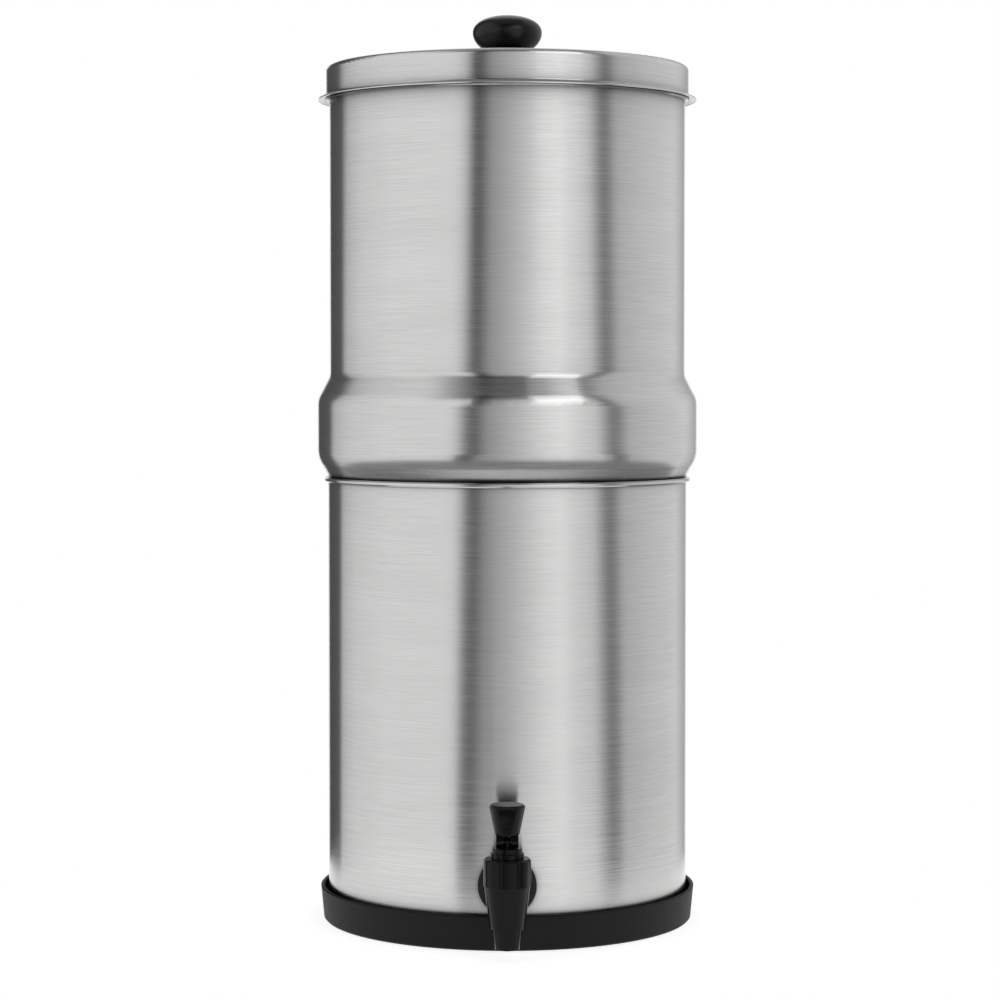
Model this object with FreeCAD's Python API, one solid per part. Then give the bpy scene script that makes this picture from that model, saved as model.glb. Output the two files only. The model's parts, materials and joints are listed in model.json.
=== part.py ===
import FreeCAD, Part
import math
import os

# Gravity water filter with a tap: two nested stainless chambers, a drum lid, a base ring,
# a lever tap and one filter cartridge. Millimetres, +Z up, the tap faces -Y.
# The origin is on the chambers' axis, level with the underside of the base ring.

# Base ring
ring_wall = 3.0
ring_flare = 1.8
ring_height = 20.8
ring_sole = 3.0
ring_opening_radius = 95.0
ring_grip_height = 12.0
ring_lip_wall = 2.3
ring_foot_bevel = 1.0
ring_lip_bevel = 0.7
ring_clearance = 0.1

# Sheet and chambers
sheet = 0.8
lower_radius = 111.2
lower_rim_height = 272.4
upper_setback = 1.2
upper_rim_height = 506.3
bulge_swell = 7.6
bulge_top_height = 318.5
lower_rim_roll = 1.6
upper_rim_roll = 1.4
rim_sides = 8
floor_bevel = 5.0
nest_depth = 14.0
nest_clearance = 0.8
seat_gap = 0.25
seat_slope = 60.0
seat_bend = 18.0
shoulder_slope = 62.6
shoulder_bend = 14.0
neck_bend = 8.0

# Lid and knob
lid_height = 20.1
lid_crown = 1.5
lid_pad_radius = 18.0
lid_edge_bend = 3.0
lid_skirt_gap = 0.6
lid_flare_bend = 2.0
lid_lip_reach = 2.7
lid_hem = 0.6
knob_height = 30.7
knob_radius = 21.9
knob_cheek_height = 21.1
knob_cheek = 10.4
knob_under_turn = -68.0
knob_crown_turn = 78.0
knob_neck_radius = 9.5
knob_foot_radius = 12.5
knob_foot_height = 2.4
knob_foot_slope = 3.0
knob_neck_height = 2.0
knob_screw_radius = 2.0
knob_screw_depth = 14.0
knob_screw_end_gap = 1.0
screw_head_radius = 4.0
screw_head_height = 2.6
screw_socket_flats = 2.5
knob_washer_radius = 6.5
knob_washer_height = 1.0
hole_clearance = 0.25

# Tap
tap_height = 38.2
tap_reach = 30.0
tap_shank_radius = 7.8
tap_shank_bore = 4.0
tap_shank_length = 17.0
tap_washer_radius = 17.25
tap_washer_height = 2.0
tap_inner_washer_radius = 13.0
tap_inner_washer_height = 3.4
tap_flange_radius = 15.0
tap_flange_height = 3.0
tap_flange_bend = 1.0
tap_arm_radius = 7.2
tap_arm_drop = 1.9
tap_nut_flats = 24.0
tap_nut_height = 7.0
barrel_top_height = 43.8
barrel_top_radius = 13.4
barrel_foot_height = 19.0
barrel_foot_radius = 10.0
nozzle_height = 7.0
nozzle_top_radius = 8.8
nozzle_foot_radius = 7.1
nozzle_bore = 4.5
nozzle_flutes = 10
nozzle_flute_radius = 1.1
seat_height = 24.0
valve_chamber_radius = 8.6
barrel_neck_radius = 10.8
barrel_neck_height = 8.4

# Bonnet, stem and lever
bonnet_height = 15.7
bonnet_radius = 13.7
bonnet_roof = 2.6
bonnet_flutes = 8
bonnet_flute_radius = 1.3
bonnet_flute_sink = 0.75
bonnet_turn = 8.0
bonnet_edge_bevel = 1.0
boss_radius = 9.75
boss_height = 6.0
boss_step = 1.0
boss_notches = 12
boss_notch_radius = 0.9
running_clearance = 0.05
stem_radius = 2.6
stem_head_flats = 4.6
pin_radius = 1.2
pin_end_inset = 0.3
seat_cup_radius = 6.8
seat_cup_height = 12.0
seat_cup_sole = 2.0
seat_cup_bevel = 0.6
seat_cup_neck = 1.2
lever_tilt = 80.0
lever_lift = 3.6
cam_base_radius = 3.3
cam_gap = 0.2
cam_nose = 1.0
cam_toe_spans = 6
fork_width = 12.8
fork_gap = 5.0
grip_start = 4.6
grip_length = 17.2
grip_foot_radius = 7.15
grip_head_radius = 10.5
grip_edge_bevel = 1.2
grip_root = 1.0
thumb_dish_radius = 26.0
thumb_dish_depth = 1.0

# Filter cartridge and blocking plug
outlet_offset = 54.5
outlet_thread_radius = 7.0
outlet_hole_radius = 7.5
cap_radius = 52.4
cap_height = 16.6
cap_plate = 4.4
cap_bevel = 1.0
cap_rim_groove = 1.2
cap_rim_height = 2.0
media_radius = 49.15
media_height = 164.8
media_wall = 4.5
core_bore = 12.0
cap_fit = 0.1
filter_washer_radius = 16.5
filter_washer_height = 2.4
filter_flange_radius = 20.0
filter_flange_height = 2.5
filter_boss_radius = 11.8
filter_boss_height = 9.0
filter_bore = 4.0
filter_thread_length = 31.0
thread_bevel = 0.8
wing_nut_height = 10.6
wing_nut_hub_radius = 12.8
wing_nut_span = 46.7
wing_thickness = 6.0
wing_drop = 0.8
wing_nut_bevel = 1.0
plug_head_radius = 15.0
plug_head_height = 4.0
plug_washer_radius = 13.0
plug_washer_height = 2.0
plug_length = 22.0
plug_nut_flats = 24.0
plug_nut_height = 7.0

# How far a cutter runs past the face that it opens
overrun = 1.0

# Places that follow from the sizes above
ring_foot_radius = lower_radius + ring_wall
ring_lip_radius = ring_foot_radius + ring_flare
upper_radius = lower_radius - upper_setback
bulge_radius = upper_radius + bulge_swell
inner_floor_bevel = floor_bevel - sheet * math.tan(math.radians(45) / 2)
lower_floor = ring_sole
lower_inner_radius = lower_radius - sheet
lower_rim_centre = lower_radius + lower_rim_roll - sheet
spigot_radius = lower_inner_radius - nest_clearance
seat_rise = math.radians(seat_slope)
seat_line_radius = lower_rim_centre - (lower_rim_roll + seat_gap) * math.sin(seat_rise)
seat_line_height = lower_rim_height + (lower_rim_roll + seat_gap) * math.cos(seat_rise)
upper_floor = lower_rim_height - nest_depth
upper_floor_top = upper_floor + sheet
upper_rim_centre = upper_radius + upper_rim_roll - sheet
flare_centre_radius = upper_radius + sheet + lid_skirt_gap + sheet + lid_flare_bend
tap_y = -(lower_radius + tap_reach)
wall_face = -lower_radius - tap_washer_height
bonnet_top = barrel_top_height + bonnet_height
boss_top = bonnet_top + boss_height
pin_height = boss_top + cam_base_radius
cam_rate = lever_lift / math.radians(lever_tilt)


def spot(centre, radius, degrees):
    """Point at an angle on a circle in the radius-height plane."""
    angle = math.radians(degrees)
    return (centre[0] + radius * math.cos(angle), centre[1] + radius * math.sin(angle))


def bend(centre, radius, start, end):
    """Arc step for an outline: a point half way round and the end."""
    return (spot(centre, radius, (start + end) / 2), spot(centre, radius, end))


def outline(start, *steps, place=lambda r, z: FreeCAD.Vector(r, 0, z)):
    """Closed face from corners and arcs, by default in the plane of radius and height."""
    edges = []
    here = start
    for step in steps + (start,):
        if isinstance(step[0], tuple):
            through, end = step
            edges.append(Part.Arc(place(*here), place(*through), place(*end)).toShape())
        else:
            end = step
            if math.dist(here, end) < 1e-6:
                continue
            edges.append(Part.LineSegment(place(*here), place(*end)).toShape())
        here = end
    return Part.Face(Part.Wire(edges))


def lathe(start, *steps):
    """Solid turned round the Z axis from an outline."""
    return outline(start, *steps).revolve(FreeCAD.Vector(0, 0, 0), FreeCAD.Vector(0, 0, 1), 360)


def rod(radius, bottom, top):
    """Upright cylinder on the Z axis between two heights."""
    return Part.makeCylinder(radius, top - bottom, FreeCAD.Vector(0, 0, bottom))


def tube(outer, inner, bottom, top):
    """Upright tube on the Z axis between two heights."""
    return rod(outer, bottom, top).cut(rod(inner, bottom, top))


def shank(radius, back, front):
    """Cylinder along Y at the tap's height, between two Y places with back less than front."""
    start = FreeCAD.Vector(0, back, tap_height)
    return Part.makeCylinder(radius, front - back, start, FreeCAD.Vector(0, 1, 0))


def hexagon(flats, height):
    """Hexagonal prism on the XY plane, its size given across the flats."""
    corner = flats / math.sqrt(3)
    points = [
        FreeCAD.Vector(corner * math.cos(math.radians(60 * k)), corner * math.sin(math.radians(60 * k)), 0)
        for k in range(7)
    ]
    return Part.Face(Part.makePolygon(points)).extrude(FreeCAD.Vector(0, 0, height))


def ring_of(shape, count, turn=0.0):
    """Copies of a shape spaced evenly round the Z axis."""
    copies = []
    for k in range(count):
        copy = shape.copy()
        copy.rotate(FreeCAD.Vector(0, 0, 0), FreeCAD.Vector(0, 0, 1), turn + 360.0 * k / count)
        copies.append(copy)
    return copies


def moved(shape, x=0.0, y=0.0, z=0.0):
    """The shape, shifted."""
    shape.translate(FreeCAD.Vector(x, y, z))
    return shape


def rolled_rim(centre, height, roll):
    """Faceted curl of sheet that closes a chamber's mouth."""
    side = 360 / rim_sides
    corners = [spot((centre, height), roll, side * (k + 0.5)) for k in range(rim_sides)]
    return lathe(*corners)


# Base ring: a rubber sole under the floor, a grip round the wall and a lip that stands clear of it


def base_ring():
    bevel_top = lower_floor + floor_bevel
    grip = lower_radius + ring_clearance
    lip_inner = ring_lip_radius - ring_lip_wall
    return lathe(
        (ring_opening_radius, 0),
        (ring_foot_radius - ring_foot_bevel, 0),
        (ring_foot_radius, ring_foot_bevel),
        (ring_lip_radius, ring_height - ring_lip_bevel),
        (ring_lip_radius - ring_lip_bevel, ring_height),
        (lip_inner + ring_lip_bevel, ring_height),
        (lip_inner, ring_height - ring_lip_bevel),
        (lip_inner, ring_grip_height),
        (grip, ring_grip_height),
        (grip, bevel_top),
        (grip - floor_bevel, lower_floor),
        (ring_opening_radius, lower_floor),
    )


# Lower chamber


def lower_chamber():
    shell = lathe(
        (0, lower_floor),
        (lower_radius - floor_bevel, lower_floor),
        (lower_radius, lower_floor + floor_bevel),
        (lower_radius, lower_rim_height),
        (lower_inner_radius, lower_rim_height),
        (lower_inner_radius, lower_floor + sheet + inner_floor_bevel),
        (lower_inner_radius - inner_floor_bevel, lower_floor + sheet),
        (0, lower_floor + sheet),
    )
    shell = shell.fuse(rolled_rim(lower_rim_centre, lower_rim_height, lower_rim_roll)).removeSplitter()
    tap_hole = shank(tap_shank_radius + hole_clearance, -lower_radius - 2 * sheet, -lower_radius / 2)
    return shell.cut(tap_hole)


# Upper chamber


def chamber_wall(inset):
    """Corners and arcs up the upper chamber's wall from the spigot to the rim, inset from the outer face."""
    lean = 90 - seat_slope
    seat_centre = (bulge_radius - seat_bend, 0)
    arc_start = spot(seat_centre, seat_bend, -lean)
    seat_climb = (arc_start[0] - seat_line_radius) * math.tan(seat_rise)
    seat_centre = (seat_centre[0], seat_line_height + seat_climb - arc_start[1])
    outward = (math.sin(seat_rise) * inset, -math.cos(seat_rise) * inset)
    spigot = spigot_radius - inset
    foot_radius_gap = seat_line_radius - outward[0] - spigot
    spigot_top = seat_line_height - outward[1] - foot_radius_gap * math.tan(seat_rise)

    tilt = 90 - shoulder_slope
    shoulder_centre = (bulge_radius - shoulder_bend, bulge_top_height)
    shoulder_end = spot(shoulder_centre, shoulder_bend, tilt)
    neck_centre = (upper_radius + neck_bend, 0)
    neck_start = spot(neck_centre, neck_bend, 180 + tilt)
    fall = (shoulder_end[0] - neck_start[0]) * math.tan(math.radians(shoulder_slope))
    neck_centre = (neck_centre[0], shoulder_end[1] + fall - neck_start[1])
    return [
        (spigot, spigot_top),
        spot(seat_centre, seat_bend - inset, -lean),
        bend(seat_centre, seat_bend - inset, -lean, 0),
        spot(shoulder_centre, shoulder_bend - inset, 0),
        bend(shoulder_centre, shoulder_bend - inset, 0, tilt),
        spot(neck_centre, neck_bend + inset, 180 + tilt),
        bend(neck_centre, neck_bend + inset, 180 + tilt, 180),
        (upper_radius - inset, upper_rim_height),
    ]


def backwards(steps):
    """The same run of corners and arcs, walked from its end to its start."""
    ends = [step[1] if isinstance(step[0], tuple) else step for step in steps]
    back = [ends[-1]]
    for k in range(len(steps) - 1, 0, -1):
        through = steps[k][0]
        back.append((through, ends[k - 1]) if isinstance(through, tuple) else ends[k - 1])
    return back


def upper_chamber():
    outside = chamber_wall(0)
    inside = backwards(chamber_wall(sheet))
    shell = lathe(
        (0, upper_floor),
        (spigot_radius - floor_bevel, upper_floor),
        (spigot_radius, upper_floor + floor_bevel),
        *outside,
        *inside,
        (spigot_radius - sheet, upper_floor_top + inner_floor_bevel),
        (spigot_radius - sheet - inner_floor_bevel, upper_floor_top),
        (0, upper_floor_top),
    )
    rim = rolled_rim(upper_rim_centre, upper_rim_height, upper_rim_roll)
    shell = shell.fuse(rim).removeSplitter()
    for side in (-1, 1):
        hole = rod(outlet_hole_radius, upper_floor - sheet, upper_floor_top + sheet)
        shell = shell.cut(moved(hole, x=side * outlet_offset))
    return shell


# Lid


def lid_places():
    """Centre of the flare that sits on the chamber's rim, and the height of the lid's top edge."""
    reach = lid_flare_bend + sheet + upper_rim_roll + seat_gap
    rise = math.sqrt(reach**2 - (flare_centre_radius - upper_rim_centre) ** 2)
    return (flare_centre_radius, upper_rim_height + rise), upper_rim_height + lid_height


def lid():
    centre, top = lid_places()
    skirt = centre[0] - lid_flare_bend
    lip_end = centre[0] + lid_lip_reach
    lip_top = centre[1] - lid_flare_bend
    edge = (skirt - lid_edge_bend, top - lid_edge_bend)
    screw_hole = knob_screw_radius + hole_clearance
    inner_flare = lid_flare_bend + sheet
    return lathe(
        (screw_hole, top + lid_crown),
        (lid_pad_radius, top + lid_crown),
        (skirt - lid_edge_bend, top),
        bend(edge, lid_edge_bend, 90, 0),
        (skirt, centre[1]),
        bend(centre, lid_flare_bend, 180, 270),
        (lip_end - lid_hem, lip_top),
        (lip_end, lip_top - lid_hem),
        (lip_end, lip_top - 2 * lid_hem),
        (lip_end - lid_hem, lip_top - 2 * lid_hem),
        (lip_end - 2 * lid_hem, lip_top - sheet),
        (centre[0], lip_top - sheet),
        spot(centre, inner_flare, 225),
        (skirt - sheet, centre[1]),
        (skirt - sheet, top - lid_edge_bend),
        (skirt - lid_edge_bend, top - sheet),
        (lid_pad_radius, top + lid_crown - sheet),
        (screw_hole, top + lid_crown - sheet),
    )


def lid_top():
    """Height of the flat pad at the lid's centre."""
    return lid_places()[1] + lid_crown


def crown_arc(edge, top):
    """Arc step from a rim to the axis, as the outline of a cap of a sphere."""
    rise = top - edge[1]
    ball = (edge[0] ** 2 + rise**2) / (2 * rise)
    half = math.asin(edge[0] / ball) / 2
    return ((ball * math.sin(half), top - ball + ball * math.cos(half)), (0, top))


def lid_knob():
    foot = lid_top()
    crown = foot + knob_height
    cheek = (knob_radius - knob_cheek, foot + knob_cheek_height)
    neck = foot + knob_foot_height + knob_foot_slope
    return lathe(
        (knob_screw_radius, foot),
        (knob_foot_radius, foot),
        (knob_foot_radius, foot + knob_foot_height),
        (knob_neck_radius, neck),
        (knob_neck_radius, neck + knob_neck_height),
        spot(cheek, knob_cheek, knob_under_turn),
        bend(cheek, knob_cheek, knob_under_turn, knob_crown_turn),
        crown_arc(spot(cheek, knob_cheek, knob_crown_turn), crown),
        (0, foot + knob_screw_depth),
        (knob_screw_radius, foot + knob_screw_depth),
    )


def knob_washer():
    under_lid = lid_top() - sheet
    return tube(knob_washer_radius, knob_screw_radius, under_lid - knob_washer_height, under_lid)


def knob_screw():
    under_washer = lid_top() - sheet - knob_washer_height
    head = rod(screw_head_radius, under_washer - screw_head_height, under_washer)
    thread = rod(knob_screw_radius, under_washer, lid_top() + knob_screw_depth - knob_screw_end_gap)
    slot = hexagon(screw_socket_flats, screw_head_height / 2)
    return head.fuse(thread).cut(moved(slot, z=under_washer - screw_head_height)).removeSplitter()


# Tap body: back flange, arm, tapered barrel with the valve seat, fluted nozzle and threaded shank


def tap_body():
    barrel = lathe(
        (0, nozzle_height),
        (nozzle_foot_radius, nozzle_height),
        (nozzle_top_radius, barrel_foot_height),
        (barrel_foot_radius, barrel_foot_height),
        (barrel_top_radius, barrel_top_height),
        (barrel_neck_radius, barrel_top_height),
        (barrel_neck_radius, barrel_top_height + barrel_neck_height),
        (0, barrel_top_height + barrel_neck_height),
    )
    flute_lean = math.atan2(nozzle_top_radius - nozzle_foot_radius, barrel_foot_height - nozzle_height)
    flute = Part.makeCylinder(
        nozzle_flute_radius,
        barrel_foot_height - nozzle_height + nozzle_flute_radius,
        FreeCAD.Vector(nozzle_foot_radius + nozzle_flute_radius / 2, 0, nozzle_height - nozzle_flute_radius),
        FreeCAD.Vector(math.sin(flute_lean), 0, math.cos(flute_lean)),
    )
    for cut in ring_of(flute, nozzle_flutes, turn=90 + 180 / nozzle_flutes):
        barrel = barrel.cut(cut)
    barrel = moved(barrel, y=tap_y)

    flange = shank(tap_flange_radius, wall_face - tap_flange_height, wall_face)
    flange = flange.makeFillet(tap_flange_bend, front_edges(flange, wall_face - tap_flange_height))
    arm = moved(shank(tap_arm_radius, tap_y, wall_face), z=-tap_arm_drop)
    thread_end = -lower_radius + tap_shank_length
    thread = shank(tap_shank_radius, wall_face, thread_end)
    body = barrel.fuse([flange, arm, thread])

    outlet = moved(rod(nozzle_bore, nozzle_height - overrun, seat_height), y=tap_y)
    chamber = moved(rod(valve_chamber_radius, seat_height, bonnet_top), y=tap_y)
    inlet = shank(tap_shank_bore, tap_y, thread_end + overrun)
    return body.cut(outlet.fuse([chamber, inlet])).removeSplitter()


def front_edges(shape, y):
    """The round edges of a shape that lie at one Y place."""
    return [
        edge
        for edge in shape.Edges
        if abs(edge.BoundBox.YMin - y) < 1e-3 and abs(edge.BoundBox.YMax - y) < 1e-3
    ]


def tap_outer_washer():
    block = shank(tap_washer_radius, wall_face, -lower_radius / 2)
    wall = rod(lower_radius, 0, lower_rim_height)
    return block.cut(wall).cut(shank(tap_shank_radius, wall_face - overrun, 0))


def tap_inner_washer():
    inside = -lower_inner_radius + tap_inner_washer_height
    block = shank(tap_inner_washer_radius, -lower_radius, inside)
    bore = rod(lower_inner_radius, 0, lower_rim_height)
    return block.common(bore).cut(shank(tap_shank_radius, -lower_radius - overrun, 0))


def tap_nut():
    inside = -lower_inner_radius + tap_inner_washer_height
    nut = hexagon(tap_nut_flats, tap_nut_height)
    nut.rotate(FreeCAD.Vector(0, 0, 0), FreeCAD.Vector(1, 0, 0), -90)
    nut = moved(nut, y=inside, z=tap_height)
    return nut.cut(shank(tap_shank_radius, inside - overrun, 0))


def tap_bonnet():
    roof = bonnet_top - bonnet_roof
    bore = stem_radius + running_clearance
    cap = lathe(
        (barrel_neck_radius, barrel_top_height),
        (bonnet_radius, barrel_top_height),
        (bonnet_radius, bonnet_top - bonnet_edge_bevel),
        (bonnet_radius - bonnet_edge_bevel, bonnet_top),
        (boss_radius, bonnet_top),
        (boss_radius, bonnet_top + boss_height / 2),
        (boss_radius - boss_step, bonnet_top + boss_height / 2 + boss_step / 2),
        (boss_radius - boss_step, boss_top),
        (bore, boss_top),
        (bore, roof),
        (valve_chamber_radius, roof),
        (valve_chamber_radius, barrel_top_height + barrel_neck_height),
        (barrel_neck_radius, barrel_top_height + barrel_neck_height),
    )
    flute_place = bonnet_radius + bonnet_flute_radius - bonnet_flute_sink
    flute = moved(rod(bonnet_flute_radius, barrel_top_height - overrun, bonnet_top + overrun), x=flute_place)
    notch = moved(rod(boss_notch_radius, bonnet_top, bonnet_top + boss_height / 2 + boss_step / 2), x=boss_radius)
    cuts = ring_of(flute, bonnet_flutes, turn=bonnet_turn - 90 + 180 / bonnet_flutes)
    cuts += ring_of(notch, boss_notches)
    return moved(cap.cut(Part.makeCompound(cuts)), y=tap_y)


# Valve stem, its cup and pin, and the lever that lifts it


def tap_stem():
    foot = seat_height + seat_cup_sole
    post = rod(stem_radius, foot, pin_height)
    across = FreeCAD.Vector(-stem_radius, 0, pin_height)
    crown = Part.makeCylinder(stem_radius, 2 * stem_radius, across, FreeCAD.Vector(1, 0, 0))
    flats_from = boss_top - lever_lift - overrun
    flats = Part.makeBox(
        stem_head_flats,
        2 * stem_radius,
        pin_height + stem_radius - flats_from,
        FreeCAD.Vector(-stem_head_flats / 2, -stem_radius, flats_from),
    )
    head = post.fuse(crown).common(flats)
    lower_post = rod(stem_radius, foot, flats_from)
    stem = lower_post.fuse(head).cut(cross_pin(pin_radius, 2 * fork_width)).removeSplitter()
    return moved(stem, y=tap_y)


def cross_pin(radius, length):
    """Cylinder along X through the lever's pivot, on the tap's own axis."""
    start = FreeCAD.Vector(-length / 2, 0, pin_height)
    return Part.makeCylinder(radius, length, start, FreeCAD.Vector(1, 0, 0))


def lever_pin():
    return moved(cross_pin(pin_radius, fork_width - 2 * pin_end_inset), y=tap_y)


def seat_cup():
    rim = seat_height + seat_cup_sole
    top = seat_height + seat_cup_height
    cup = lathe(
        (0, seat_height),
        (seat_cup_radius - seat_cup_bevel, seat_height),
        (seat_cup_radius, rim),
        (stem_radius + seat_cup_neck, top),
        (stem_radius, top),
        (stem_radius, rim),
        (0, rim),
    )
    return moved(cup, y=tap_y)


def cam_point(radius, turn):
    """Point of the cam's toe that bears on the bonnet when the lever has turned by an angle."""
    reach = radius + cam_rate * turn
    y = -reach * math.sin(turn) - cam_rate * math.cos(turn)
    z = -reach * math.cos(turn) + cam_rate * math.sin(turn)
    return FreeCAD.Vector(0, y, z)


def cam_cheek():
    """Side plate of the fork: a round heel, a flat foot and an involute toe that lifts at a steady rate."""
    heel = cam_base_radius - cam_gap
    full = math.radians(lever_tilt)
    toe_points = [cam_point(heel, full * k / cam_toe_spans) for k in range(cam_toe_spans + 1)]
    toe = Part.BSplineCurve()
    toe.interpolate(toe_points)
    foot = FreeCAD.Vector(0, 0, -heel)
    back = FreeCAD.Vector(0, heel, 0)
    side = heel * math.sqrt(0.5)
    shoulder = FreeCAD.Vector(0, heel, grip_start + grip_root)
    front = FreeCAD.Vector(0, -heel - cam_nose, grip_start + grip_root)
    edges = [
        Part.Arc(back, FreeCAD.Vector(0, side, -side), foot).toShape(),
        Part.LineSegment(foot, toe_points[0]).toShape(),
        toe.toShape(),
        Part.LineSegment(toe_points[-1], front).toShape(),
        Part.LineSegment(front, shoulder).toShape(),
        Part.LineSegment(shoulder, back).toShape(),
    ]
    thickness = (fork_width - fork_gap) / 2
    return Part.Face(Part.Wire(edges)).extrude(FreeCAD.Vector(thickness, 0, 0))


def tap_lever():
    cheeks = [moved(cam_cheek(), x=fork_gap / 2), moved(cam_cheek(), x=-fork_width / 2)]
    top = grip_start + grip_length
    grip = lathe(
        (0, grip_start),
        (grip_foot_radius, grip_start),
        (grip_head_radius, top - grip_edge_bevel),
        (grip_head_radius - grip_edge_bevel, top),
        (0, top),
    )
    dish_centre = FreeCAD.Vector(0, -grip_foot_radius - thumb_dish_radius, grip_start + grip_length / 2)
    dish_centre.y -= (grip_head_radius - grip_foot_radius) / 2 - thumb_dish_depth
    grip = grip.cut(Part.makeSphere(thumb_dish_radius, dish_centre))
    lever = moved(grip.fuse(cheeks).removeSplitter(), z=pin_height)
    lever = lever.cut(cross_pin(pin_radius + running_clearance, 2 * fork_width))
    return moved(lever, y=tap_y)


# Filter cartridge, held through the floor by a wing nut


filter_flange_foot = upper_floor_top + filter_washer_height
filter_cap_foot = filter_flange_foot + filter_flange_height
media_foot = filter_cap_foot + cap_plate
cap_skirt = cap_height - cap_plate


def filter_cap(bottom, direction):
    """End cap: a plate and a skirt round the media, with a groove near the open edge."""
    far = bottom + direction * cap_height
    plate = bottom + direction * cap_plate
    groove = far - direction * cap_rim_height
    return lathe(
        (filter_boss_radius + cap_fit, bottom),
        (cap_radius - cap_bevel, bottom),
        (cap_radius, bottom + direction * cap_bevel),
        (cap_radius, groove - direction * cap_bevel),
        (cap_radius - cap_rim_groove, groove),
        (cap_radius - cap_rim_groove, far),
        (media_radius + cap_fit, far),
        (media_radius + cap_fit, plate),
        (filter_boss_radius + cap_fit, plate),
    )


def filter_bottom_cap():
    return moved(filter_cap(filter_cap_foot, 1), x=-outlet_offset)


def filter_top_cap():
    top = media_foot + media_height + cap_plate
    cap = filter_cap(top, -1)
    hub = rod(filter_boss_radius + cap_fit, top - cap_plate, top - cap_plate / 2)
    return moved(cap.fuse(hub).removeSplitter(), x=-outlet_offset)


def filter_wrap():
    sleeve = tube(media_radius, media_radius - media_wall, media_foot, media_foot + media_height)
    return moved(sleeve, x=-outlet_offset)


def filter_core():
    block = tube(media_radius - media_wall, core_bore, media_foot, media_foot + media_height)
    return moved(block, x=-outlet_offset)


def filter_stem():
    thread_end = upper_floor - filter_thread_length
    stem = lathe(
        (filter_bore, thread_end),
        (outlet_thread_radius - thread_bevel, thread_end),
        (outlet_thread_radius, thread_end + thread_bevel),
        (outlet_thread_radius, filter_flange_foot),
        (filter_flange_radius, filter_flange_foot),
        (filter_flange_radius, filter_cap_foot),
        (filter_boss_radius, filter_cap_foot),
        (filter_boss_radius, filter_cap_foot + filter_boss_height),
        (filter_bore, filter_cap_foot + filter_boss_height),
    )
    return moved(stem, x=-outlet_offset)


def filter_washer():
    washer = tube(filter_washer_radius, outlet_thread_radius, upper_floor_top, filter_flange_foot)
    return moved(washer, x=-outlet_offset)


def filter_wing_nut():
    bottom = upper_floor - wing_nut_height
    hub = lathe(
        (outlet_thread_radius, bottom),
        (wing_nut_hub_radius - wing_nut_bevel, bottom),
        (wing_nut_hub_radius, bottom + wing_nut_bevel),
        (wing_nut_hub_radius, upper_floor - wing_nut_bevel),
        (wing_nut_hub_radius - wing_nut_bevel, upper_floor),
        (outlet_thread_radius, upper_floor),
    )
    wings = Part.makeBox(
        wing_nut_span,
        wing_thickness,
        wing_nut_height - wing_drop,
        FreeCAD.Vector(-wing_nut_span / 2, -wing_thickness / 2, bottom),
    )
    bore = rod(outlet_thread_radius, bottom - overrun, upper_floor + overrun)
    return moved(hub.fuse(wings.cut(bore)).removeSplitter(), x=-outlet_offset)


# Blocking plug for the outlet that carries no cartridge


def blocking_plug():
    seat = upper_floor_top + plug_washer_height
    thread = rod(outlet_thread_radius, seat - plug_length, seat)
    head = rod(plug_head_radius, seat, seat + plug_head_height)
    return moved(thread.fuse(head).removeSplitter(), x=outlet_offset)


def plug_washer():
    seat = upper_floor_top + plug_washer_height
    return moved(tube(plug_washer_radius, outlet_thread_radius, upper_floor_top, seat), x=outlet_offset)


def plug_nut():
    nut = moved(hexagon(plug_nut_flats, plug_nut_height), z=upper_floor - plug_nut_height)
    return moved(nut.cut(rod(outlet_thread_radius, 0, upper_floor + overrun)), x=outlet_offset)


pieces = [
    base_ring,
    lower_chamber,
    upper_chamber,
    lid,
    lid_knob,
    knob_screw,
    knob_washer,
    tap_body,
    tap_outer_washer,
    tap_inner_washer,
    tap_nut,
    tap_bonnet,
    tap_stem,
    seat_cup,
    lever_pin,
    tap_lever,
    filter_top_cap,
    filter_bottom_cap,
    filter_wrap,
    filter_core,
    filter_stem,
    filter_washer,
    filter_wing_nut,
    blocking_plug,
    plug_washer,
    plug_nut,
]

os.makedirs("parts", exist_ok=True)
for piece in pieces:
    shape = piece()
    if not shape.isValid() or len(shape.Solids) != 1:
        raise ValueError(f"{piece.__name__}: {len(shape.Solids)} solids, valid {shape.isValid()}")
    shape.exportStep(f"parts/{piece.__name__}.step")
print(f"{len(pieces)} parts, cam rate {cam_rate:.4f} mm per radian, pin at {pin_height:.2f}")
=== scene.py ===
import json
import math

import bpy
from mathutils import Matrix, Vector


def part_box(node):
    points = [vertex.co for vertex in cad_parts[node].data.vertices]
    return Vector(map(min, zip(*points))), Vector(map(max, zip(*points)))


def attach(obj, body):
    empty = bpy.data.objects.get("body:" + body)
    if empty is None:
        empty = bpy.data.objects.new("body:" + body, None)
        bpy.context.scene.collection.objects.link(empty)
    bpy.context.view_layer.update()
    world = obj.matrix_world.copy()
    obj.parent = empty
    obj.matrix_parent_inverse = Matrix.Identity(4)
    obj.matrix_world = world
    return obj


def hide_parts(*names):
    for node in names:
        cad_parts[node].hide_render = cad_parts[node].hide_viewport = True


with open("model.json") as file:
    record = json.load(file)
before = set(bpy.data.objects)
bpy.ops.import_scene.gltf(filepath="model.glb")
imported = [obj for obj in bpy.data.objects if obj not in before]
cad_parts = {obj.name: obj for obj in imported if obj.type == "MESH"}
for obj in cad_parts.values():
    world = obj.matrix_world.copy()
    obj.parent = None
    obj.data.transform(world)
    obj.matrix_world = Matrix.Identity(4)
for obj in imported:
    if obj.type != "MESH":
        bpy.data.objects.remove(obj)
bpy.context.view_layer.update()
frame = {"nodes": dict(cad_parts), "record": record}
nodes = frame["nodes"]

# Camera, fitted to the photograph: pixels in a 1000 pixel frame, lengths in metres

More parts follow.
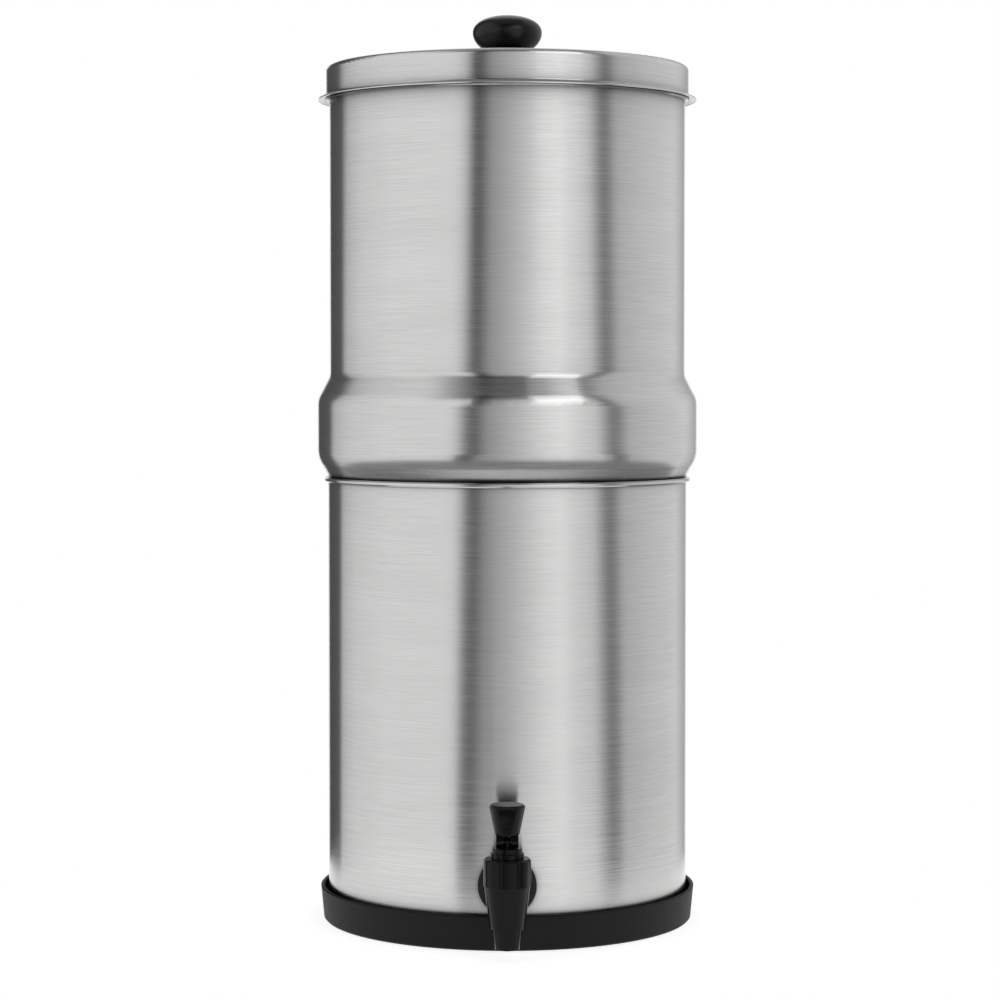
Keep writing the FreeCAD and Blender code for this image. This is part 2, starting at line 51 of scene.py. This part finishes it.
FRAME_PX = 1000
FOCAL_PX = 2818
SENSOR = 0.036
CAMERA_DISTANCE = 1.751
EYE_HEIGHT = 0.338
PITCH = 1.991
CENTRE_ROW_PX = 470.9
AXIS_PX = 507.3

# Studio room, in metres and degrees. Headings run from the camera towards +X.

WALL_RADIUS = 3.5
WALL_FOOT = -1.2
WALL_TOP = 6.0
PIT_LIGHT = 0.24
CEILING_LIGHT = 0.35

# The bands lean in towards their centre as they rise, but the backdrop stays upright

BAND_CENTRE = 21.5
BAND_SPREAD = 46
BAND_LEAN = 0.16
LEAN_HEIGHTS = (-0.6, 1.0)
LEAN_FADE = (120, 140)

# Above the hood's foot the wall dims to a share of its light, which is least near the front

HOOD_FOOT = 2.0
HOOD_TOP = 3.2
HOOD_HEADINGS = (28, 60)
HOOD_SHARES = (0.10, 0.92)

# Floor, just under the base so that the two faces don't meet. Its glow and the light on it make white.

FLOOR_RADIUS = 0.26
FLOOR_LEVEL = -0.0004
FLOOR_TONE = 0.5
FLOOR_GLOW = 0.8

# Cartridge and plug, in metres: both stand this far from the chambers' axis, on opposite sides

OUTLET_OFFSET = 0.0545
THREAD_RADIUS = 0.007
THREAD_PITCH = 0.002
WRAP_SEAM_HEIGHT = 0.40
WRAP_SEAM_CLIMB = 0.0105
WRAP_SEAM_WANDER = 0.0012

# How far into the air a crease in the steel looks for what shades it, in metres; that shade is painted into
# the steel's colour

PAINTED_SHADE_REACH = 0.02

# Steepest fold, in degrees, that is still shaded as smooth

SMOOTH_FOLD = 50

# The wall's soft boxes and flags: headings and the brightness there, which changes evenly in between. The two
# ends are the white backdrop behind the object.

STUDIO = [
    (-180, 1.0),
    (-163, 1.0),
    (-162, 0.08),
    (-150, 0.09),
    (-134, 0.12),
    (-128, 0.62),
    (-110, 0.82),
    (-80, 0.94),
    (-36, 0.96),
    (-30, 0.80),
    (-26, 0.10),
    (-20, 0.12),
    (-14, 0.40),
    (0, 0.60),
    (12, 0.80),
    (24, 0.98),
    (34, 1.06),
    (41, 0.92),
    (55, 0.80),
    (62, 0.40),
    (66, 0.20),
    (71, 0.26),
    (77, 0.58),
    (102, 0.72),
    (134, 0.80),
    (148, 0.58),
    (162, 0.38),
    (163, 1.0),
    (180, 1.0),
]


# Shader building


class Shader:
    """A node material with one Principled surface and short calls for the nodes that feed it."""

    def __init__(self, name, **sockets):
        self.material = bpy.data.materials.new(name)
        self.material.use_nodes = True
        self.tree = self.material.node_tree
        self.surface = self.tree.nodes["Principled BSDF"]
        for socket, value in sockets.items():
            self.surface.inputs[socket.replace("_", " ")].default_value = value

    def node(self, kind, **settings):
        made = self.tree.nodes.new(kind)
        for key, value in settings.items():
            if key in made.inputs:
                made.inputs[key].default_value = value
            else:
                setattr(made, key, value)
        return made

    def link(self, source, target):
        self.tree.links.new(source, target)

    def place(self, scale):
        """Object coordinates, stretched: scale is how many features lie in a metre along each axis."""
        coordinates = self.node("ShaderNodeTexCoord")
        mapping = self.node("ShaderNodeMapping")
        mapping.inputs["Scale"].default_value = scale
        self.link(coordinates.outputs["Object"], mapping.inputs["Vector"])
        return mapping.outputs["Vector"]

    def axes(self):
        """Separate X, Y and Z of the object coordinates."""
        coordinates = self.node("ShaderNodeTexCoord")
        split = self.node("ShaderNodeSeparateXYZ")
        self.link(coordinates.outputs["Object"], split.inputs[0])
        return split.outputs["X"], split.outputs["Y"], split.outputs["Z"]

    def noise(self, scale, detail=2.0, roughness=0.5):
        texture = self.node("ShaderNodeTexNoise")
        texture.inputs["Scale"].default_value = 1.0
        texture.inputs["Detail"].default_value = detail
        texture.inputs["Roughness"].default_value = roughness
        self.link(self.place(scale), texture.inputs["Vector"])
        return texture.outputs["Fac"]

    def ramp(self, value, low, high, dark, light):
        """Maps value from low..high to dark..light, which are both numbers or both colours."""
        if isinstance(dark, tuple):
            made = self.node("ShaderNodeValToRGB")
            made.color_ramp.elements[0].position = low
            made.color_ramp.elements[1].position = high
            made.color_ramp.elements[0].color = (*dark, 1)
            made.color_ramp.elements[1].color = (*light, 1)
            self.link(value, made.inputs["Fac"])
            return made.outputs["Color"]
        made = self.node("ShaderNodeMapRange")
        for socket, number in (("From Min", low), ("From Max", high), ("To Min", dark), ("To Max", light)):
            made.inputs[socket].default_value = number
        self.link(value, made.inputs["Value"])
        return made.outputs["Result"]

    def math(self, operation, first, second=0.0):
        made = self.node("ShaderNodeMath", operation=operation)
        for index, value in enumerate((first, second)):
            if isinstance(value, (int, float)):
                made.inputs[index].default_value = value
            else:
                self.link(value, made.inputs[index])
        return made.outputs[0]

    def bump(self, height, distance, strength=1.0):
        made = self.node("ShaderNodeBump")
        made.inputs["Distance"].default_value = distance
        made.inputs["Strength"].default_value = strength
        self.link(height, made.inputs["Height"])
        self.link(made.outputs["Normal"], self.surface.inputs["Normal"])

    def feed(self, value, socket):
        self.link(value, self.surface.inputs[socket])


def brushed_steel(name, along=(28, 28, 2600), clouds=(9, 9, 40)):
    """Stainless sheet brushed round the axis: long scratches, faint clouds and painted shade darkening its
    creases.
    """
    steel = Shader(name, Metallic=1.0, Anisotropic=0.9, Anisotropic_Rotation=0.25)
    scratch = steel.noise(along, detail=3.0, roughness=0.6)
    fine = steel.noise(tuple(3.1 * s for s in along), detail=2.0)
    cloud = steel.noise(clouds, detail=3.0)
    mixed = steel.math("ADD", steel.math("MULTIPLY", scratch, 0.65), steel.math("MULTIPLY", fine, 0.35))
    toned = steel.math("ADD", steel.math("MULTIPLY", mixed, 0.8), steel.math("MULTIPLY", cloud, 0.2))
    tone = steel.ramp(toned, 0.3, 0.7, (0.56, 0.56, 0.555), (0.76, 0.76, 0.755))
    # Painted shade: the base colour is darkened where other surfaces lie close, in creases, under rims and
    # round the tap
    crease = steel.node("ShaderNodeAmbientOcclusion", samples=6)
    crease.inputs["Distance"].default_value = PAINTED_SHADE_REACH
    painted_crease_shade = steel.ramp(crease.outputs["AO"], 0.45, 0.95, (0.22, 0.22, 0.22), (1.0, 1.0, 1.0))
    tone_with_painted_shade = steel.node("ShaderNodeMix", data_type="RGBA", blend_type="MULTIPLY")
    tone_with_painted_shade.inputs["Factor"].default_value = 1.0
    steel.link(tone, tone_with_painted_shade.inputs["A"])
    steel.link(painted_crease_shade, tone_with_painted_shade.inputs["B"])
    steel.feed(tone_with_painted_shade.outputs["Result"], "Base Color")
    steel.feed(steel.ramp(mixed, 0.3, 0.7, 0.15, 0.25), "Roughness")
    steel.bump(mixed, 0.00002, 0.35)
    tangent = steel.node("ShaderNodeTangent", direction_type="RADIAL", axis="Z")
    steel.link(tangent.outputs["Tangent"], steel.surface.inputs["Tangent"])
    return steel.material


def gloss_plastic(name, tone, roughness=0.16, gloss=0.3):
    """Moulded black plastic: a slight orange peel and faint handling marks in its gloss."""
    plastic = Shader(name, Specular_IOR_Level=gloss)
    peel = plastic.noise((900, 900, 900), detail=2.0)
    marks = plastic.noise((140, 140, 60), detail=4.0, roughness=0.65)
    plastic.feed(plastic.ramp(marks, 0.3, 0.75, tone, tuple(1.5 * c for c in tone)), "Base Color")
    plastic.feed(plastic.ramp(marks, 0.35, 0.75, roughness, roughness + 0.14), "Roughness")
    plastic.bump(peel, 0.00003, 0.35)
    return plastic.material


def rubber(name, tone, grain=1400, roughness=0.55, sheen=0.4):
    """Black rubber: fine grain, dull sheen and a faint bloom."""
    made = Shader(name, Specular_IOR_Level=sheen)
    pores = made.noise((grain, grain, grain), detail=3.0, roughness=0.7)
    bloom = made.noise((60, 60, 60), detail=4.0)
    made.feed(made.ramp(bloom, 0.3, 0.75, tone, tuple(1.8 * c for c in tone)), "Base Color")
    made.feed(made.ramp(pores, 0.3, 0.7, roughness - 0.08, roughness + 0.12), "Roughness")
    made.bump(pores, 0.00006, 0.5)
    return made.material


def filter_media(name):
    """Wound charcoal fibre sheet: matted strands that run round and slightly up."""
    made = Shader(name, Roughness=0.85, Specular_IOR_Level=0.25)
    strands = made.noise((60, 60, 480), detail=6.0, roughness=0.7)
    mat = made.noise((700, 700, 1500), detail=4.0, roughness=0.7)
    mixed = made.math("ADD", made.math("MULTIPLY", strands, 0.6), made.math("MULTIPLY", mat, 0.4))
    x, y, z = made.axes()
    turn = made.math("ARCTAN2", made.math("ADD", x, OUTLET_OFFSET), y)
    rise = made.math("MULTIPLY", turn, WRAP_SEAM_CLIMB)
    climb = made.math("ADD", rise, made.math("MULTIPLY", strands, WRAP_SEAM_WANDER))
    above_seam = made.math("SUBTRACT", made.math("SUBTRACT", z, WRAP_SEAM_HEIGHT), climb)
    seam = made.ramp(made.math("ABSOLUTE", above_seam), 0.0003, 0.0011, 0.0, 1.0)
    height = made.math("MULTIPLY", mixed, made.math("ADD", made.math("MULTIPLY", seam, 0.5), 0.5))
    made.feed(made.ramp(height, 0.30, 0.68, (0.010, 0.010, 0.011), (0.075, 0.075, 0.082)), "Base Color")
    made.bump(height, 0.0006, 0.8)
    return made.material


def threaded_plastic(name, tone, centre):
    """Moulded plastic, with a screw thread where the surface lies at the thread's radius from its axis."""
    made = Shader(name, Specular_IOR_Level=0.35)
    grain = made.noise((1600, 1600, 1600), detail=3.0, roughness=0.7)
    x, y, z = made.axes()
    across = made.math("SUBTRACT", x, centre)
    squares = made.math("ADD", made.math("POWER", across, 2.0), made.math("POWER", y, 2.0))
    off_thread = made.math("SUBTRACT", made.math("SQRT", squares), THREAD_RADIUS)
    near = made.ramp(made.math("ABSOLUTE", off_thread), 0.0003, 0.0005, 1.0, 0.0)
    turn = made.math("ARCTAN2", across, y)
    wave = made.math("SINE", made.math("ADD", made.math("MULTIPLY", z, 2 * math.pi / THREAD_PITCH), turn))
    thread = made.math("MULTIPLY", made.math("MULTIPLY", wave, 0.5), near)
    height = made.math("ADD", thread, made.math("MULTIPLY", grain, 0.06))
    made.feed(made.ramp(grain, 0.3, 0.75, tone, tuple(1.8 * c for c in tone)), "Base Color")
    made.feed(made.ramp(grain, 0.3, 0.7, 0.34, 0.5), "Roughness")
    made.bump(height, 0.0009, 0.9)
    return made.material


MATERIALS = {
    "brushed_steel": brushed_steel("brushed_steel"),
    "fastener_steel": brushed_steel("fastener_steel", along=(900, 900, 900), clouds=(90, 90, 90)),
    "base_rubber": rubber("base_rubber", (0.0045, 0.0045, 0.005), sheen=0.22),
    "knob_plastic": gloss_plastic("knob_plastic", (0.0035, 0.0035, 0.004), roughness=0.2),
    "tap_plastic": gloss_plastic("tap_plastic", (0.0025, 0.0025, 0.003), roughness=0.1, gloss=0.16),
    "seal_rubber": rubber("seal_rubber", (0.012, 0.012, 0.012), grain=2200),
    "silicone": rubber("silicone", (0.45, 0.45, 0.43), grain=2600, roughness=0.42),
    "filter_plastic": rubber("filter_plastic", (0.011, 0.011, 0.012), grain=2600, roughness=0.42),
    "filter_media": filter_media("filter_media"),
    "carbon_block": rubber("carbon_block", (0.02, 0.02, 0.02), grain=900, roughness=0.8),
}

THREADED = {
    "filter_stem": threaded_plastic("cartridge_thread", (0.008, 0.008, 0.009), -OUTLET_OFFSET),
    "blocking_plug": threaded_plastic("plug_thread", (0.008, 0.008, 0.009), OUTLET_OFFSET),
}


def dress(piece, slot):
    """Gives a CAD piece its one material, and smooth shading but for its sharp edges."""
    piece.data.materials.clear()
    piece.data.materials.append(THREADED.get(piece.name, MATERIALS[slot]))
    piece.data.shade_smooth()
    piece.data.set_sharp_from_angle(angle=math.radians(SMOOTH_FOLD))


for entry in frame["record"]["subparts"]:
    dress(nodes[entry["node"]], entry["material_slot"])


# Turned meshes


def ring_mesh(name, profile, steps=96):
    """Surface turned round the Z axis from (radius, height) pairs in metres, closed where the radius is 0."""
    points = []
    faces = []
    rows = []
    for radius, height in profile:
        if radius == 0.0:
            rows.append([len(points)] * steps)
            points.append((0, 0, height))
            continue
        rows.append(list(range(len(points), len(points) + steps)))
        for k in range(steps):
            turn = 2 * math.pi * k / steps
            points.append((radius * math.cos(turn), radius * math.sin(turn), height))
    for low, high in zip(rows, rows[1:]):
        for k in range(steps):
            corners = [low[k], low[(k + 1) % steps], high[(k + 1) % steps], high[k]]
            faces.append(list(dict.fromkeys(corners)))
    mesh = bpy.data.meshes.new(name)
    mesh.from_pydata(points, [], faces)
    mesh.shade_smooth()
    made = bpy.data.objects.new(name, mesh)
    bpy.context.scene.collection.objects.link(made)
    return made


# Knob, in millimetres above its foot: a squat turned head with a soft crown on a short neck. The two powers
# make the crown's shoulder a little fuller than an ellipse.

KNOB_NECK = [(0.0, 0.0), (11.6, 0.0), (12.3, 0.5), (12.4, 1.6), (11.9, 2.5)]
KNOB_NECK += [(10.3, 3.9), (9.8, 5.4), (9.9, 7.2), (10.8, 8.4)]
KNOB_RADIUS = 21.4
KNOB_MIDDLE = 20.2
KNOB_LOW_HALF = 14.4
KNOB_HIGH_HALF = 10.5
KNOB_UNDER_TURN = 49
KNOB_UNDER_STEPS = 12
KNOB_CROWN_STEPS = 24
KNOB_REACH_POWER = 0.86
KNOB_RISE_POWER = 0.96


def knob_profile():
    """Radius and height pairs in millimetres, from the foot's middle round to the crown's."""
    profile = list(KNOB_NECK)
    for k in range(KNOB_UNDER_STEPS + 1):
        turn = math.radians(-KNOB_UNDER_TURN + KNOB_UNDER_TURN * k / KNOB_UNDER_STEPS)
        profile.append((KNOB_RADIUS * math.cos(turn), KNOB_MIDDLE + KNOB_LOW_HALF * math.sin(turn)))
    for k in range(1, KNOB_CROWN_STEPS):
        turn = math.pi / 2 * k / KNOB_CROWN_STEPS
        reach = KNOB_RADIUS * math.cos(turn) ** KNOB_REACH_POWER
        profile.append((reach, KNOB_MIDDLE + KNOB_HIGH_HALF * math.sin(turn) ** KNOB_RISE_POWER))
    profile.append((0.0, KNOB_MIDDLE + KNOB_HIGH_HALF))
    return profile


def knob():
    """Stands for the CAD knob, whose crown is slightly dished."""
    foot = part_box("lid_knob")[0][2]
    made = ring_mesh("knob", [(radius / 1000, height / 1000 + foot) for radius, height in knob_profile()])
    made.data.materials.append(MATERIALS["knob_plastic"])
    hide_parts("lid_knob")
    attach(made, "lid_set")


# Studio


def glow_shader(name):
    """Material with emission only, the same to every kind of ray, and the socket for its strength."""
    made = Shader(name)
    made.tree.nodes.remove(made.surface)
    glow = made.node("ShaderNodeEmission")
    made.link(glow.outputs[0], made.tree.nodes["Material Output"].inputs["Surface"])
    return made, glow.inputs["Strength"]


def wall_light(made):
    """Brightness by heading from the STUDIO bands, which lean as they rise, dimmed above by the hood."""
    x, y, z = made.axes()
    heading = made.math("ARCTAN2", x, made.math("MULTIPLY", y, -1.0))
    from_front = made.math("ABSOLUTE", heading)

    spread = math.radians(BAND_SPREAD)
    side = made.math("SUBTRACT", heading, math.radians(BAND_CENTRE))
    held = made.math("MINIMUM", made.math("MAXIMUM", side, -spread), spread)
    lowest, highest = LEAN_HEIGHTS
    height = made.math("MINIMUM", made.math("MAXIMUM", z, lowest), highest)
    fade_from, fade_to = (math.radians(degrees) for degrees in LEAN_FADE)
    fade = made.ramp(from_front, fade_from, fade_to, 1.0, 0.0)
    lean = made.math("MULTIPLY", made.math("MULTIPLY", height, BAND_LEAN), made.math("MULTIPLY", held, fade))
    turn = made.ramp(made.math("ADD", heading, lean), -math.pi, math.pi, 0.0, 1.0)

    bands = made.node("ShaderNodeValToRGB")
    ramp = bands.color_ramp
    while len(ramp.elements) < len(STUDIO):
        ramp.elements.new(0.5)
    for element, (degrees, light) in zip(ramp.elements, STUDIO):
        element.position = (degrees + 180) / 360
        element.color = (light, light, light, 1)
    made.link(turn, bands.inputs["Fac"])

    front_edge, side_edge = (math.radians(degrees) for degrees in HOOD_HEADINGS)
    kept_share = made.ramp(from_front, front_edge, side_edge, *HOOD_SHARES)
    hood = made.ramp(z, HOOD_FOOT, HOOD_TOP, 0.0, 1.0)
    hood_loss = made.math("MULTIPLY", hood, made.math("SUBTRACT", 1.0, kept_share))
    return made.math("MULTIPLY", bands.outputs["Color"], made.math("SUBTRACT", 1.0, hood_loss))


def studio():
    """Round room: white backdrop behind the object, soft boxes and flags round it, dim pit and ceiling."""
    world = bpy.data.worlds.new("studio")
    bpy.context.scene.world = world
    world.use_nodes = True
    world.node_tree.nodes["Background"].inputs["Color"].default_value = (1, 1, 1, 1)

    wall = ring_mesh("studio_wall", [(WALL_RADIUS, WALL_FOOT), (WALL_RADIUS, WALL_TOP)])
    made, strength = glow_shader("studio_wall")
    made.link(wall_light(made), strength)
    wall.data.materials.append(made.material)

    for name, height, light in (
        ("studio_pit", WALL_FOOT, PIT_LIGHT),
        ("studio_ceiling", WALL_TOP, CEILING_LIGHT),
    ):
        disc = ring_mesh(name, [(0.0, height), (WALL_RADIUS, height)])
        made, strength = glow_shader(name)
        strength.default_value = light
        disc.data.materials.append(made.material)


def soft_box(name, heading, rise, distance, width, height, power):
    """Rectangular lamp aimed at the object's middle from a heading and a height angle."""
    lamp = bpy.data.lights.new(name, "AREA")
    lamp.shape = "RECTANGLE"
    lamp.size = width
    lamp.size_y = height
    lamp.energy = power
    made = bpy.data.objects.new(name, lamp)
    bpy.context.scene.collection.objects.link(made)
    turn = math.radians(heading)
    lift = math.radians(rise)
    aim = Vector((0, 0, 0.28))
    made.location = aim + distance * Vector(
        (math.sin(turn) * math.cos(lift), -math.cos(turn) * math.cos(lift), math.sin(lift))
    )
    made.rotation_euler = (aim - made.location).to_track_quat("-Z", "Y").to_euler()


def floor():
    """Pale floor, white to the camera and in metal, that keeps the object's soft shadow."""
    plane = ring_mesh("floor", [(0.0, FLOOR_LEVEL), (FLOOR_RADIUS, FLOOR_LEVEL)])
    tone = (FLOOR_TONE, FLOOR_TONE, FLOOR_TONE, 1)
    made = Shader("floor_white", Base_Color=tone, Roughness=0.9, Specular_IOR_Level=0.0)
    path = made.node("ShaderNodeLightPath")
    seen = made.math("MAXIMUM", path.outputs["Is Camera Ray"], path.outputs["Is Glossy Ray"])
    seen = made.math("MAXIMUM", seen, path.outputs["Is Transmission Ray"])
    glow = made.node("ShaderNodeEmission")
    made.link(made.math("MULTIPLY", seen, FLOOR_GLOW), glow.inputs["Strength"])
    add = made.node("ShaderNodeAddShader")
    made.link(made.surface.outputs[0], add.inputs[0])
    made.link(glow.outputs[0], add.inputs[1])
    made.link(add.outputs[0], made.tree.nodes["Material Output"].inputs["Surface"])
    plane.data.materials.append(made.material)


def camera():
    """A little above the middle, tilted slightly down, with the frame shifted to fit the photograph."""
    data = bpy.data.cameras.new("camera")
    made = bpy.data.objects.new("camera", data)
    bpy.context.scene.collection.objects.link(made)
    data.sensor_width = SENSOR * 1000
    data.lens = SENSOR * 1000 * FOCAL_PX / FRAME_PX
    data.shift_y = (CENTRE_ROW_PX - FRAME_PX / 2) / FRAME_PX
    pitch = math.radians(PITCH)
    yaw = math.atan((AXIS_PX - FRAME_PX / 2) / FOCAL_PX)
    made.location = (0, -CAMERA_DISTANCE, EYE_HEIGHT)
    made.rotation_euler = (math.pi / 2 - pitch, 0, yaw)
    bpy.context.scene.camera = made


knob()
studio()
soft_box("key", heading=33, rise=34, distance=2.6, width=1.3, height=1.3, power=5)
floor()
camera()
bpy.context.scene.view_settings.view_transform = "Standard"
